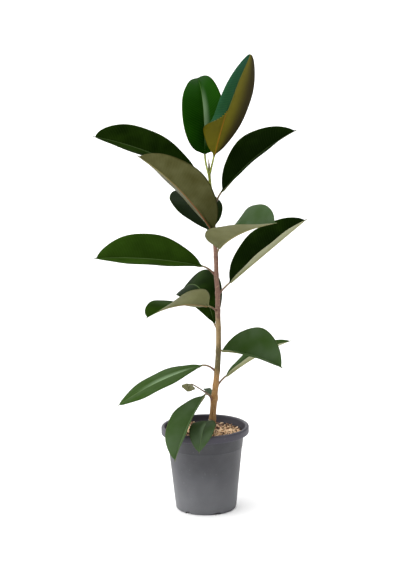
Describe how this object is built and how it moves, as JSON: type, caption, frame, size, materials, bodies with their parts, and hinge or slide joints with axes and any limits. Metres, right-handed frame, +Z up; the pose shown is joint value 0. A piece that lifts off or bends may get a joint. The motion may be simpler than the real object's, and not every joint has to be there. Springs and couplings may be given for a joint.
{
  "type": "potted rubber plant",
  "caption": "Rubber plant with broad leathery leaves on one upright stem, growing in a round tapered nursery pot of potting soil.",
  "frame": {"origin": "middle of the pot's underside, on the surface it stands on", "axes": "+Z up along the pot's axis, +X to the plant's right and -Y its front"},
  "size_m": [0.4572, 0.3914, 0.9867],
  "materials": {
    "pot": "moulded recycled polypropylene, dark grey, slightly mottled, satin rim",
    "soil": "dark peat and bark potting mix with pale bark chips",
    "bark": "smooth brown bark with small pale pores and leaf scars",
    "sheath": "thin papery bud sheath, olive to red-brown",
    "leaf": "leathery leaf, dark glossy upper side, matt olive underside, pale midrib",
    "young_leaf": "young leaf blade, bright green, satin to glossy upper side with pale veins"
  },
  "bodies": {
    "root": {"nursery_pot": "pot", "potting_soil": "soil", "stem": "bark", "bud_sheath": "sheath", "leaf_top_green": "young_leaf", "leaf_top_tall": "young_leaf", "leaf_upper_left": "leaf", "leaf_front_left": "leaf", "leaf_upper_right": "leaf", "leaf_back_upper": "leaf", "leaf_front_right": "leaf", "leaf_mid_right": "leaf", "leaf_mid_left": "leaf", "leaf_back_middle": "leaf", "leaf_twisted_left": "leaf", "leaf_arched_right": "leaf", "leaf_low_right": "leaf", "leaf_long_left": "leaf", "leaf_small_left": "leaf", "leaf_small_back": "leaf", "leaf_drooping_left": "leaf", "leaf_drooping_front": "leaf"}
  },
  "joints": []
}
